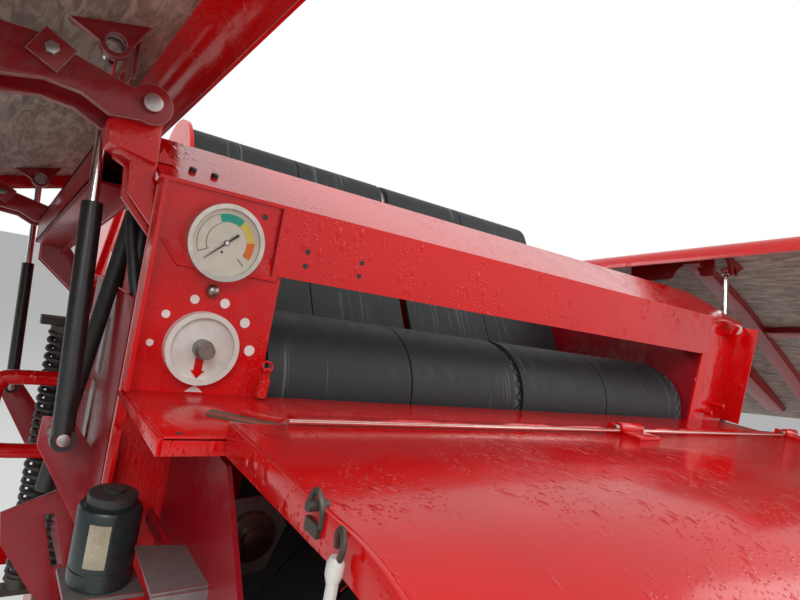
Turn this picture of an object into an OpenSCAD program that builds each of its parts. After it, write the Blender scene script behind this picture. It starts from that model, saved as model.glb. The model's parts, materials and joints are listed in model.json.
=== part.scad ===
// Round baler with belts, its two side doors open. Millimetres, +Z up, front towards -Y.
// Inside the modules y = 0 is the plane of the front panels and x = 0 the middle of the machine.

/* [Upper front] */
// Height of the crossbeam's lower edge above the floor
beam_z = 2200; // [2100:5:2300]
// Half the clear width between the chamber walls
half_w = 600; // [560:1:640]
// Chamber wall thickness
wall_t = 8; // [6:0.5:12]
// Thickness of folded sheets
sheet_t = 5; // [4:0.5:6]
// Height of the crossbeam's front face
beam_h = 95; // [85:1:110]
// Outer edge of the gauge panel and of the right column
panel_x = 785; // [770:1:800]
// Depth of the ledge above the lid
ledge_d = 205; // [190:1:220]
// Fall of the ledge below the beam's lower edge
ledge_dz = 175; // [165:1:185]
// Bezel radius of the pressure gauge
gauge_r = 51; // [46:0.5:56]

/* [Lid] */
// Half width of the lid
lid_w = 720; // [700:1:740]
// Radius of the lid's nose
lid_r = 275; // [250:1:300]
// Length of the lid's straight nose below the bend
lid_drop = 110; // [60:1:140]

/* [Belts and rollers] */
// Radius of the lagged front roller
lag_r = 112; // [100:1:116]
// Belt thickness
belt_t = 8; // [6:0.5:9]
// Radius of the top and tailgate belt rollers
top_r = 57; // [48:1:60]
// Radius of the chamber's steel rollers
steel_r = 75; // [65:1:80]
// Gap on each side of the tailgate's parting plane
split_gap = 12; // [9:1:18]

/* [Doors] */
// Opening angle at which the doors are stored
door_open = 69; // [62:0.5:70]
// Slope of the door hinge, front end higher
door_tilt = 10.3; // [8:0.1:12]
// Door length along its hinge
door_l = 1420; // [1350:5:1440]
// Door height from hinge to lower edge
door_h = 1330; // [1250:5:1340]
// Hinge pin radius
door_pin_r = 12; // [10:0.1:14]

/* [Running gear] */
// Tyre radius out to the lugs
tyre_r = 465; // [450:1:475]
// Tyre width
tyre_w = 500; // [460:1:510]
// Track between tyre middles
track = 1950; // [1930:2:1980]
// Place of the axle behind the front panels
axle_y = 1080; // [1050:1:1100]
// Distance from the front panels to the tip of the eye
hitch_reach = 2455; // [2420:1:2500]
// Distance from the front panels to the rear lamps' faces
tail_reach = 1920; // [1910:1:1940]
// Hole radius of the hitch eye
eye_r = 25.5; // [20:0.5:27]
// Radius of the power shaft's end
pto_r = 17.4; // [15:0.1:18]
// Height of the power shaft's axis
pto_z = 1090; // [1085:1:1100]

/* [Pick-up] */
// Half width of the tined reel
reel_w = 950; // [900:5:960]
// Tip radius of the tines
tine_r = 240; // [225:1:245]
// Pitch of the tines
tine_pitch = 100; // [90:1:110]
// Radius of the stripper bands
band_r = 182; // [165:1:185]
// Radius of the pick-up's gauge wheels
gauge_wheel_r = 150; // [140:1:155]

/* [Hidden] */
$fn = 48;
y_shift = (hitch_reach - tail_reach) / 2;
// places of roller axes, [y, z]
lag = [130, beam_z - 180];
top = [710, beam_z + 225];
rear = [1640, beam_z - 50];
low = [1180, 640];
rotor = [190, 640];
pivot = [980, beam_z + 240];
split = 1010;
wall_o = half_w + wall_t;
reel = [-200, 345];
door_a = [806, 50, beam_z + 175];
cyl_base = [820, 1100];
cyl_eye = [1180, 2050];
cyl_x = 680;
guard = [-150, 712];
// bores in the side walls, [y, z, radius]
shafts = [[lag[0], lag[1], 25], [top[0], top[1], 22], [330, 850, 25], [520, 610, 25], [860, 610, 25], [60, 1040, 25]];
hinge_p = [-207, beam_z - 144];
// rollers of the belt loop, [y, z, radius]
w_lag = [lag[0], lag[1], lag_r];
w_top = [top[0], top[1], top_r];
w_rear = [rear[0], rear[1], top_r];
w_low = [low[0], low[1], steel_r];
// belts by their edges, [left x, right x]
belts = [[-584, -315], [-312, -51], [-28, 251], [254, 554]];

// --- helpers ---
module put() translate([0, y_shift, 0]) children();
// a (y, z) outline made into a plate from x0 to x1
module yz(x0, x1) translate([x0, 0, 0]) rotate([90, 0, 90]) linear_extrude(x1 - x0) children();
// an (x, z) outline made into a plate from y0 to y1
module xz(y0, y1) translate([0, y1, 0]) rotate([90, 0, 0]) linear_extrude(y1 - y0) children();
module xcyl(p, r, x0, x1) translate([x0, p[0], p[1]]) rotate([0, 90, 0]) cylinder(r = r, h = x1 - x0);
module both() { children(); mirror([1, 0, 0]) children(); }
module block(x, y, z) translate([x[0], y[0], z[0]]) cube([x[1] - x[0], y[1] - y[0], z[1] - z[0]]);
function ang(a, b) = atan2(b[1] - a[1], b[0] - a[0]);
function dist(a, b) = sqrt((b[0] - a[0]) * (b[0] - a[0]) + (b[1] - a[1]) * (b[1] - a[1]));
function pol(c, r, a) = [c[0] + r * cos(a), c[1] + r * sin(a)];
function turn(c, p, a) = [c[0] + (p[0] - c[0]) * cos(a) - (p[1] - c[1]) * sin(a),
                          c[1] + (p[0] - c[0]) * sin(a) + (p[1] - c[1]) * cos(a)];
// wedge from angle a0 to a1 (under 180 degrees apart)
module wedge(c, r, a0, a1)
    polygon([c, pol(c, 2 * r, a0), pol(c, 2 * r, a0 + (a1 - a0) / 3),
             pol(c, 2 * r, a0 + (a1 - a0) * 2 / 3), pol(c, 2 * r, a1)]);
// the belt loop runs over the outer side of rollers given as [y, z, radius]
function run_a(p, q) = ang(p, q) - asin((p[2] - q[2]) / dist(p, q));
function arc(c, r, a0, a1, n) = [for (i = [0:n]) pol(c, r, a0 + (a1 - a0) * i / n)];
// the point of a run, e outside the rollers' tangent, where it crosses y
function at_y(p, a, e, y) = let (s = pol(p, p[2] + e, a + 90)) [y, s[1] + (y - s[0]) * tan(a)];
function rev(p) = [for (i = [len(p) - 1:-1:0]) p[i]];

// --- fixed upper front ---
module wall_shape() {
    polygon([[6, 760], [6, beam_z + 88], [60, beam_z + 112], [150, beam_z + 155], [640, beam_z + 302],
             [700, beam_z + 331], [980, beam_z + 311], [1000, beam_z + 240], [1000, 420],
             [120, 420], [60, 480]]);
}
module side_walls() color("firebrick") put() both() difference() {
    union() {
        yz(half_w, wall_o) wall_shape();
        xcyl(top, 106, half_w, wall_o, $fn = 96);
        xcyl(pivot, 72, half_w, wall_o, $fn = 96);
        xcyl(pivot, 20, half_w, wall_o + 34);
        xcyl(cyl_base, 16, half_w, cyl_x + 32);
        xcyl(cyl_base, 21, half_w, cyl_x - 15.3);
        xcyl(rotor, 48, half_w, wall_o + 50);
    }
    xcyl(rotor, 30.05, half_w - 1, wall_o + 60);
    for (c = shafts) xcyl([c[0], c[1]], c[2], half_w - 1, wall_o + 1);
}
module crossbeam() color("red") put() {
    // front face, slanting top over both panels, rear fold and lower return
    block([-616, 610], [-sheet_t, 0], [beam_z, beam_z + beam_h]);
    block([-half_w + 0.3, half_w - 0.3], [-sheet_t, 60], [beam_z, beam_z + sheet_t]);
    yz(-panel_x, 768) polygon([[-sheet_t, beam_z + beam_h], [-sheet_t, beam_z + beam_h + sheet_t],
                              [165, beam_z + 168], [170, beam_z + 166], [168, beam_z + 161.5], [165, beam_z + 162],
                              [0, beam_z + beam_h]]);
    block([-half_w + 0.3, half_w - 0.3], [165, 170], [beam_z + 130, beam_z + 166]);
}
module gauge_panel() color("red") put() difference() {
    union() {
        block([-panel_x, -half_w], [0, 6], [1300, beam_z + beam_h]);
        block([-panel_x, -panel_x + sheet_t], [-28, 6], [1300, beam_z + beam_h]);
    }
    block([-panel_x - 1, -half_w + 1], [-29, 0], [beam_z - 219, beam_z - 170]);
    translate([-640, -5, beam_z + 78]) rotate([-90, 0, 0]) cylinder(r = 4, h = 20);
}
module right_column() color("red") put() {
    block([half_w, 768], [0, 6], [1300, beam_z + beam_h]);
    for (z = [[1300, beam_z - 219], [beam_z - 169.5, beam_z + beam_h]]) block([763, 768], [-40, 6], z);
    for (x = [700, 728]) block([x, x + 6], [-16, 0], [beam_z + 40, beam_z + beam_h]);
}
module ledge() color("red") put() {
    yz(-787, 787) polygon([[-ledge_d, beam_z - 168], [0, beam_z - ledge_dz], [0, beam_z - ledge_dz - sheet_t],
                          [-ledge_d, beam_z - 168 - sheet_t]]);
    both() block([787 - sheet_t, 787], [-ledge_d, 0], [beam_z - 218, beam_z - 171]);
    block([-787, 787], [-ledge_d, -ledge_d + sheet_t], [beam_z - 198, beam_z - 170]);
    // lid hinges: a lug each side of the lid's knuckle and the pin between
    for (x = [-600, 0, 600]) {
        for (s = [-1, 1]) translate([x + s * 37 - 4, 0, 0])
            block([0, 8], [hinge_p[0] + 3, -ledge_d + 14], [beam_z - 173, hinge_p[1] + 8]);
        xcyl(hinge_p, 6, x - 42, x + 42);
    }
}
module net_box() color("firebrick") put() {
    both() yz(700, 706)
        polygon([[0, beam_z - 190], [-190, beam_z - 205], [-300, beam_z - 330], [-600, beam_z - 400],
                 [-665, beam_z - 560], [-640, beam_z - 640], [0, beam_z - 640]]);
    block([-706, 706], [-645, 0], [beam_z - 645, beam_z - 640]);
    block([-706, 706], [-650, -645], [beam_z - 645, beam_z - 560]);
}
module net_roll() color("tan") put() {
    difference() {
        xcyl([-390, beam_z - 450], 120, -615, 615);
        xcyl([-390, beam_z - 450], 38.5, -616, 616);
    }
    xcyl([-390, beam_z - 450], 38.4, -700, 700);
}
module lagged_roller() color("dimgray") put() {
    xcyl(lag, lag_r - 0.3, -594, 594, $fn = 96);
    xcyl(lag, 25, -640, 655);
    both() xcyl(lag, 62, wall_o, wall_o + 28);
}
module steel_rollers() color("silver") put() {
    for (c = [[330, 850, 70], [520, 610, steel_r], [860, 610, steel_r]]) {
        xcyl([c[0], c[1]], c[2], -594, 594);
        xcyl([c[0], c[1]], 25, -wall_o - 12, c[2] == 70 ? 696 : wall_o + 12);
    }
    xcyl(top, top_r - 0.3, -594, 594, $fn = 96);
    xcyl(top, 22, -wall_o - 12, wall_o + 12);
}
function front_path(e) = concat([at_y(w_lag, run_a(w_low, w_lag), e, split - split_gap)],
    arc(lag, lag_r + e, run_a(w_low, w_lag) + 90, run_a(w_lag, w_top) + 90, 20),
    arc(top, top_r + e, run_a(w_lag, w_top) + 90, run_a(w_top, w_rear) + 90, 10),
    [at_y(w_top, run_a(w_top, w_rear), e, split - split_gap)]);
module belts_front() color("black") put()
    for (x = belts) yz(x[0], x[1]) polygon(concat(front_path(belt_t), rev(front_path(0))));
module gauge() color("ivory") put() translate([-693, 0, beam_z + 32]) rotate([90, 0, 0]) difference() {
    cylinder(r = gauge_r, h = 24, $fn = 96);
    translate([0, 0, 19]) cylinder(r = gauge_r - 6, h = 6, $fn = 96);
}
module dial() color("whitesmoke") put() translate([-695, 0, beam_z - 112]) rotate([90, 0, 0]) {
    difference() {
        cylinder(r = 49, h = 14, $fn = 96);
        translate([0, 0, 8]) cylinder(r = 42, h = 7, $fn = 96);
    }
    cylinder(r = 13, h = 20);
    cylinder(r = 10, h = 34);
}
module front_bracing() color("firebrick") put() {
    block([-half_w, half_w], [10, 110], [1235, 1335]);
    block([-half_w, half_w], [20, 25], [1335, 1555]);
    block([-half_w, half_w], [120, 200], [430, 440]);
}
module gearbox() color("dimgray") put() difference() {
    union() {
        block([-130, 130], [-200, 110], [985, 1235]);
        translate([0, -200, pto_z]) rotate([90, 0, 0]) cylinder(r = 60, h = 20);
        xcyl([60, 1040], 25, 130, 720);
    }
    translate([0, -199, pto_z]) rotate([90, 0, 0]) cylinder(r = pto_r + 2, h = 40);
}
module chain_drive() color("dimgray") put() {
    // sprockets, [y, z, radius, near x]
    for (s = [[60, 1040, 60, 640], [130, beam_z - 180, 105, 640], [60, 1040, 60, 680], [330, 850, 80, 680]])
        difference() {
            xcyl([s[0], s[1]], s[2], s[3] + 2, s[3] + 12);
            xcyl([s[0], s[1]], 25, s[3], s[3] + 14);
        }
}
module chassis() color("firebrick") put() {
    both() block([wall_o, 688], [120, 1150], [420, 510]);
    block([-720, 720], [axle_y - 50, axle_y + 50], [410, 510]);
    both() {
        xcyl([axle_y, tyre_r], 35, 700, 1010);
        block([608, 700], [axle_y - 45, axle_y + 45], [415, 520]);
    }
}
module drawbar_arms() both() translate([0, 0, 875]) linear_extrude(100)
    polygon([[560, -12], [640, -12], [130, -1400], [40, -1400]]);
module drawbar() color("firebrick") put() {
    block([-640, 640], [-12, 6], [875, 975]);
    drawbar_arms();
    yz(-55, 55) polygon([[-1250, 985], [-1500, 985], [-2120, 650], [-2330, 650], [-2330, 530], [-2100, 530],
                         [-1470, 865], [-1250, 865]]);
}
module hitch_eye() color("dimgray") put() difference() {
    union() {
        translate([0, -hitch_reach + 58, 575]) cylinder(r = 58, h = 30);
        block([-35, 35], [-hitch_reach + 58, -2330], [575, 605]);
    }
    translate([0, -hitch_reach + 58, 570]) cylinder(r = eye_r, h = 40);
}
module jack_tube() color("dimgray") put() {
    translate([-200, -1400, 0]) difference() {
        union() {
            translate([0, 0, 520]) cylinder(r = 40, h = 580);
            block([0, 69], [-40, 40], [880, 970]);
        }
        translate([0, 0, 500]) cylinder(r = 32, h = 560);
        translate([200, 1400, 0]) drawbar_arms();
    }
}
module jack_leg() color("silver") put() translate([-200, -1400, 0]) {
    cylinder(r = 90, h = 12);
    cylinder(r = 31.9, h = 640);
}
module door_brackets() color("red") put() both() difference() {
    union() for (v = [0, 860]) translate(door_a) rotate([-door_tilt, 0, 0]) translate([0, v, 0]) {
        for (s = [-1, 1]) translate([0, s * 35, 0]) {
            translate([0, 4, 0]) rotate([90, 0, 0]) cylinder(r = 32, h = 8);
            xz(-4, 4) polygon([[-198, -190], [-198, -100], [-34, -100], [-34, 0], [-26, 18], [20, 25], [28, -20],
                               [10, -110], [-60, -190]]);
        }
        translate([0, 39, 0]) rotate([90, 0, 0]) cylinder(r = door_pin_r, h = 78);
        // foot of the gas strut
        xz(130, 138) polygon([[-198, -640], [-198, -580], [-90, -560], [10, -400], [48, -400], [48, -440], [-40, -640]]);
        translate([30, 138, -420]) rotate([90, 0, 0]) cylinder(r = 8, h = 106);
    }
    block([wall_o - 100, wall_o], [-100, 1400], [1000, 3000]);
    block([wall_o - 100, panel_x + 4], [-100, 6], [1000, 3000]);
    block([wall_o - 100, panel_x + 1], [-100, 172], [beam_z + 90, beam_z + 172]);
}
module belt_springs() color("black") put() both() for (y = [380, 470]) {
    translate([-790, y, beam_z - 590]) rotate_extrude() union() {
        square([18, 470]);
        for (i = [0:15]) translate([24, 50 + i * 26]) circle(r = 8, $fn = 16);
    }
    block([-800, -wall_o], [y - 10, y + 10], [beam_z - 125, beam_z - 105]);
    block([-800, -wall_o], [y - 10, y + 10], [beam_z - 600, beam_z - 580]);
}
module hoses() color("black") put() {
    for (y = [28, 50]) translate([-715 - y / 3, y, 1500]) cylinder(r = 9, h = 640);
}
module bottle_holder() color("firebrick") put() {
    block([-835, -751], [-145, -55], [beam_z - 480, beam_z - 474]);
    block([-751, -745], [-145, 0], [beam_z - 480, beam_z - 400]);
}
module oil_bottle() color("darkslategray") put() translate([-793, -100, 0]) {
    translate([0, 0, beam_z - 474]) cylinder(r = 36, h = 190);
    translate([0, 0, beam_z - 284]) cylinder(r = 24, h = 24);
}
module handrail() color("red") put() {
    block([-900, -wall_o], [330, 345], [1500, 1515]);
}

// --- turning parts at the front ---
module pto_shaft() color("silver") put() translate([0, -199.5, pto_z]) rotate([90, 0, 0]) cylinder(r = pto_r, h = 145);
module feed_rotor() color("dimgray") put() {
    xcyl(rotor, 60, -590, 590);
    xcyl(rotor, 30, -wall_o - 52, wall_o + 52);
    for (i = [0:10]) xcyl(rotor, 150, -560 + i * 110, -552 + i * 110);
}

// --- lid ---
module lid_shape(t) {
    difference() {
        union() {
            intersection() {
                translate([-450, beam_z - 427]) circle(r = lid_r, $fn = 96);
                translate([-450 - lid_r, beam_z - 427]) square([lid_r, lid_r]);
            }
            translate([-450, beam_z - 427]) square([240, lid_r]);
            translate([-450 - lid_r, beam_z - 427 - lid_drop]) square([lid_r + 240, lid_drop]);
        }
        union() {
            intersection() {
                translate([-450, beam_z - 427]) circle(r = lid_r - t, $fn = 96);
                translate([-450 - lid_r, beam_z - 427]) square([lid_r, lid_r]);
            }
            translate([-450.01, beam_z - 427.01]) square([241, lid_r - t + 0.01]);
            translate([-450 - lid_r + t, beam_z - 428 - lid_drop]) square([lid_r + 240 - t + 1, lid_drop + 1.01]);
        }
    }
}
module lid() color("red") put() {
    yz(-lid_w, lid_w) lid_shape(sheet_t);
    both() yz(lid_w - sheet_t, lid_w) lid_shape(30);
    for (x = [-600, 0, 600]) difference() {
        union() {
            xcyl(hinge_p, 10, x - 31, x + 31);
            block([x - 31, x + 31], [-250, hinge_p[0] - 6], [beam_z - 152, beam_z - 147]);
        }
        xcyl(hinge_p, 6.05, x - 40, x + 40);
    }
}
module lid_catch() color("silver") put() {
    translate([-lid_w - 12, -430, beam_z - 190]) block([0, 12], [-8, 8], [-20, 20]);
}

// --- side doors, in the hinge's own frame: x outwards, y along the hinge, z up, drawn shut ---
door_u = 167;
door_bulge = 42;
door_c = [door_u + door_bulge - (door_h * door_h / 8 / door_bulge + door_bulge / 2), 75 - door_h / 2];
door_R = door_h * door_h / 8 / door_bulge + door_bulge / 2;
module door_ring(outer, inner) difference() {
    translate(door_c) circle(r = door_R - inner, $fn = 360);
    translate(door_c) circle(r = door_R - outer, $fn = 360);
}
module door() {
    skin_a = asin(door_h / 2 / door_R);
    difference() {
        union() {
            // skin with its rolled upper rim
            intersection() {
                xz(-450, door_l - 450) difference() {
                    translate(door_c) circle(r = door_R, $fn = 360);
                    translate(door_c) circle(r = door_R - 7, $fn = 360);
                }
                xz(-460, door_l) polygon([[90, 75], [260, 75], [260, 75 - door_h], [90, 75 - door_h]]);
            }
            xz(-450, door_l - 450) intersection() {
                difference() {
                    translate([door_u - 55, 75]) circle(r = 55, $fn = 96);
                    translate([door_u - 55, 75]) circle(r = 48, $fn = 96);
                }
                translate([door_u - 70, 75]) square([80, 80]);
            }
            // front and rear lips
            for (v = [-450, door_l - 456]) intersection() {
                xz(v, v + 6) difference() {
                    translate(door_c) circle(r = door_R, $fn = 360);
                    translate(door_c) circle(r = door_R - 40, $fn = 360);
                }
                xz(-460, door_l) polygon([[60, 75], [260, 75], [260, 75 - door_h], [60, 75 - door_h]]);
            }
            // arms on the hinge pins
            for (v = [0, 860]) {
                xz(v - 20, v + 20) polygon([[-32, -22], [28, -38], [100, -120], [100, -1150], [168, -1180],
                                            [164, 60], [120, 90], [60, 70], [-12, 32]]);
                translate([0, v + 26, 0]) rotate([90, 0, 0]) cylinder(r = 36, h = 52);
                translate([96, v + 33.7, -8]) rotate([90, 0, 0]) cylinder(r = 12, h = 20);
            }
            for (w = [-380, -860]) block([120, 165], [18, 842], [w - 20, w + 20]);
        }
        for (v = [0, 860]) translate([0, v + 27, 0]) rotate([90, 0, 0]) cylinder(r = door_pin_r + 0.05, h = 54);
    }
}
module door_pose() translate(door_a) rotate([-door_tilt, 0, 0]) rotate([0, -door_open, 0]) children();
module door_right() color("red") put() door_pose() door();
module door_left() color("red") put() mirror([1, 0, 0]) door_pose() door();

// --- gas struts, from their foot [30, -420] to the arm at [96, -8] when shut ---
foot = [30, -420];
strut_eye = turn([0, 0], [96, -8], door_open);
strut_a = ang(foot, strut_eye);
module strut_pose() translate(door_a) rotate([-door_tilt, 0, 0]) translate([foot[0], 0, foot[1]]) rotate([0, 90 - strut_a, 0]) children();
module strut_barrels() strut_pose() for (v = [44, 904]) difference() {
    union() {
        translate([0, v, 0]) cylinder(r = 13, h = 300);
        translate([0, v + 10, 0]) rotate([90, 0, 0]) cylinder(r = 14, h = 20);
    }
    translate([0, v + 20, 0]) rotate([90, 0, 0]) cylinder(r = 8.05, h = 40);
    translate([0, v, 60]) cylinder(r = 7.05, h = 250);
}
module strut_rods() strut_pose() for (v = [44, 904]) {
    translate([0, v, 190]) cylinder(r = 7, h = dist(foot, strut_eye) - 190);
    translate([0, v + 10, dist(foot, strut_eye)]) rotate([90, 0, 0]) cylinder(r = 13, h = 20);
}
module strut_barrels_right() color("black") put() strut_barrels();
module strut_barrels_left() color("black") put() mirror([1, 0, 0]) strut_barrels();
module strut_rods_right() color("silver") put() strut_rods();
module strut_rods_left() color("silver") put() mirror([1, 0, 0]) strut_rods();

// --- tailgate ---
gate_i = wall_o + 6;
module gate_shape() polygon([[split + 2, 530], [1260, 530], [1560, 700], [1790, 1050], [1860, 1400], [1840, 1800],
                             [1740, 2120], [1650, 2225], [1200, beam_z + 190], [1030, beam_z + 300],
                             [980, beam_z + 312], [918, beam_z + 250], [split + 2, beam_z + 120]]);
module tailgate_walls() color("red") put() both() difference() {
    union() {
        yz(gate_i, gate_i + wall_t) gate_shape();
        xcyl(pivot, 72, gate_i, gate_i + wall_t, $fn = 96);
        xcyl(cyl_eye, 24, gate_i, cyl_x - 15.3);
    }
    xcyl(pivot, 20.05, gate_i - 1, gate_i + wall_t + 1);
}
module tailgate_frame() color("red") put() {
    for (c = [[1790, 1300], [1500, 2180], [1500, 700]])
        block([-gate_i, gate_i], [c[0] - 30, c[0] + 30], [c[1] - 30, c[1] + 30]);
}
module tailgate_rollers() color("silver") put() {
    for (c = [[rear[0], rear[1], top_r], [low[0], low[1], steel_r]]) {
        xcyl([c[0], c[1]], c[2] - 0.3, -594, 594, $fn = 96);
        xcyl([c[0], c[1]], 22, -gate_i, gate_i);
    }
}
function rear_path(e) = concat([at_y(w_top, run_a(w_top, w_rear), e, split + split_gap)],
    arc(rear, top_r + e, run_a(w_top, w_rear) + 90, run_a(w_rear, w_low) + 90, 18),
    arc(low, steel_r + e, run_a(w_rear, w_low) + 90, run_a(w_low, w_lag) - 270, 24),
    [at_y(w_low, run_a(w_low, w_lag), e, split + split_gap)]);
module belts_rear() color("black") put()
    for (x = belts) yz(x[0], x[1]) polygon(concat(rear_path(belt_t), rev(rear_path(0))));
module lamp_bar() color("red") put() {
    block([-1080, 1080], [1850, 1880], [840, 920]);
    both() yz(gate_i + wall_t, gate_i + wall_t + 8) polygon([[1620, 850], [1870, 840], [1870, 920], [1700, 960]]);
}
module lamps() color("darkred") put() both() block([900, 1070], [1880, tail_reach], [845, 915]);

// --- tailgate cylinders ---
cyl_a = ang(cyl_base, cyl_eye);
module along(x, p, a) translate([x, p[0], p[1]]) rotate([a - 90, 0, 0]) children();
module cylinder_right_() difference() {
    union() {
        along(cyl_x, cyl_base, cyl_a) {
            translate([0, 0, 40]) cylinder(r = 30, h = 560);
            translate([-15, 0, 0]) rotate([0, 90, 0]) cylinder(r = 30, h = 30);
            cylinder(r = 14, h = 45);
        }
    }
    along(cyl_x, cyl_base, cyl_a) translate([-16, 0, 0]) rotate([0, 90, 0]) cylinder(r = 16.05, h = 32);
    along(cyl_x, cyl_base, cyl_a) translate([0, 0, 100]) cylinder(r = 16.05, h = 520);
}
module piston_right_() along(cyl_x, cyl_base, cyl_a) {
    translate([0, 0, 130]) cylinder(r = 16, h = dist(cyl_base, cyl_eye) - 160);
    translate([-15, 0, dist(cyl_base, cyl_eye)]) rotate([0, 90, 0]) cylinder(r = 30, h = 30);
}
module cylinder_right() color("black") put() cylinder_right_();
module cylinder_left() color("black") put() mirror([1, 0, 0]) cylinder_right_();
module piston_right() color("silver") put() piston_right_();
module piston_left() color("silver") put() mirror([1, 0, 0]) piston_right_();

// --- wheels ---
module wheel() translate([track / 2, axle_y, tyre_r]) rotate([0, 90, 0]) {
    lug_r = tyre_r - 18;
    intersection() {
        for (i = [0:19]) for (s = [-1, 1]) rotate([0, 0, i * 18 + s * 4.5])
            translate([lug_r - 8, 0, s * tyre_w * 0.19]) rotate([s * 25, 0, 0]) cube([60, 38, tyre_w * 0.34], center = true);
        difference() {
            cylinder(r = tyre_r, h = tyre_w, center = true, $fn = 96);
            cylinder(r = lug_r - 12, h = tyre_w + 2, center = true, $fn = 96);
        }
    }
    difference() {
        rotate_extrude($fn = 96) polygon([[215, -tyre_w / 2 + 30], [260, -tyre_w / 2], [380, -tyre_w / 2],
            [430, -tyre_w / 2 + 25], [tyre_r - 18, -tyre_w / 2 + 60], [tyre_r - 18, tyre_w / 2 - 60],
            [430, tyre_w / 2 - 25], [380, tyre_w / 2], [260, tyre_w / 2], [215, tyre_w / 2 - 30]]);
        cylinder(r = 36, h = 600, center = true);
    }
    difference() {
        translate([0, 0, 40]) cylinder(r = 216, h = 12);
        cylinder(r = 36, h = 600, center = true);
    }
    difference() {
        translate([0, 0, -60]) cylinder(r = 80, h = 160);
        cylinder(r = 35.1, h = 600, center = true);
    }
}
module wheel_right() color("dimgray") put() wheel();
module wheel_left() color("dimgray") put() mirror([1, 0, 0]) wheel();

// --- pick-up ---
module pickup_frame() color("firebrick") put() {
    both() {
        yz(985, 993) difference() {
            union() {
                translate(reel) circle(r = 195);
                polygon([[-390, 345], [-330, 520], [-160, 690], [-80, 690], [-10, 400], [-60, 200]]);
            }
            translate(reel) circle(r = 25.1);
        }
        yz(640, 652) difference() {
            union() {
                polygon([[-150, 600], [-150, 680], [190, 700], [190, 580]]);
                translate(rotor) circle(r = 66);
            }
            translate(rotor) circle(r = 48.06);
        }
        xcyl([-330, gauge_wheel_r + 14], 14, 993, 1130);
        yz(993, 1001) polygon([[-345, 150], [-315, 150], [-300, 400], [-360, 400]]);
    }
    xcyl([-120, 640], 35, -985, 985);
    both() yz(902, 910) difference() {
        polygon([[-170, 640], [-175, 725], [-150, 738], [-125, 725], [-95, 640]]);
        translate(guard) circle(r = 14.05);
    }
}
module stripper_bands() color("silver") put() {
    for (i = [0:2 * reel_w / tine_pitch - 1]) {
        x = -reel_w + (i + 0.5) * tine_pitch - 32;
        intersection() {
            difference() {
                xcyl(reel, band_r, x, x + 64);
                xcyl(reel, band_r - 4, x - 1, x + 65);
            }
            yz(x - 1, x + 65) polygon([[-100, 200], [-100, 560], [-500, 560], [-500, 100], [-100, 100]]);
        }
        block([x, x + 64], [-124, -100], [502, 604.7]);
    }
}
module tine_reel() color("dimgray") put() {
    xcyl(reel, 25, -985, 985);
    // star plates that carry the tine bars
    for (x = [-reel_w + 25, 0, reel_w - 25]) yz(x - 4, x + 4) translate(reel) {
        circle(r = 60);
        for (a = [0:72:300]) rotate(a) {
            translate([0, -16]) square([150, 32]);
            translate([150, 0]) circle(r = 18);
        }
    }
    for (a = [0:72:300]) translate([0, reel[0], reel[1]]) rotate([a, 0, 0]) {
        translate([0, 150, 0]) rotate([0, 90, 0]) cylinder(r = 14, h = 2 * reel_w + 20, center = true);
        for (i = [0:2 * reel_w / tine_pitch]) translate([-reel_w + i * tine_pitch, 0, 0])
            translate([0, 150, 0]) rotate([-90, 0, 0]) cylinder(r = 3.4, h = tine_r - 150, $fn = 16);
    }
}
module gauge_wheel() difference() {
    translate([1010, -330, gauge_wheel_r + 14]) rotate([0, 90, 0]) cylinder(r = gauge_wheel_r, h = 100);
    translate([1000, -330, gauge_wheel_r + 14]) rotate([0, 90, 0]) cylinder(r = 14.1, h = 200);
}
module gauge_wheel_right() color("black") put() gauge_wheel();
module gauge_wheel_left() color("black") put() mirror([1, 0, 0]) gauge_wheel();
module windguard() color("silver") put() {
    xcyl(guard, 14, -920, 920);
    for (i = [0:17]) translate([-850 + i * 100, guard[0], guard[1]]) rotate([100, 0, 0]) cylinder(r = 5, h = 340);
}

side_walls();
crossbeam();
gauge_panel();
right_column();
ledge();
net_box();
net_roll();
lagged_roller();
steel_rollers();
belts_front();
gauge();
dial();
front_bracing();
gearbox();
chain_drive();
chassis();
drawbar();
hitch_eye();
jack_tube();
jack_leg();
door_brackets();
belt_springs();
hoses();
oil_bottle();
bottle_holder();
handrail();
pto_shaft();
feed_rotor();
lid();
lid_catch();
door_right();
door_left();
strut_barrels_right();
strut_barrels_left();
strut_rods_right();
strut_rods_left();
tailgate_walls();
tailgate_frame();
tailgate_rollers();
belts_rear();
lamp_bar();
lamps();
cylinder_right();
cylinder_left();
piston_right();
piston_left();
wheel_right();
wheel_left();
pickup_frame();
stripper_bands();
tine_reel();
gauge_wheel_right();
gauge_wheel_left();
windguard();
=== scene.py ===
"""Looks of the round baler: paint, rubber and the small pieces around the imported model.

Pieces are given in millimetres: x from the middle, y from the plane of the front panels, and z from
the crossbeam's lower edge (move = TOP) or all three in the frame of a door's hinge.
"""
import json
import math
import random

import bmesh
import bpy
from mathutils import Matrix, Vector
from mathutils.geometry import tessellate_polygon


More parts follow.
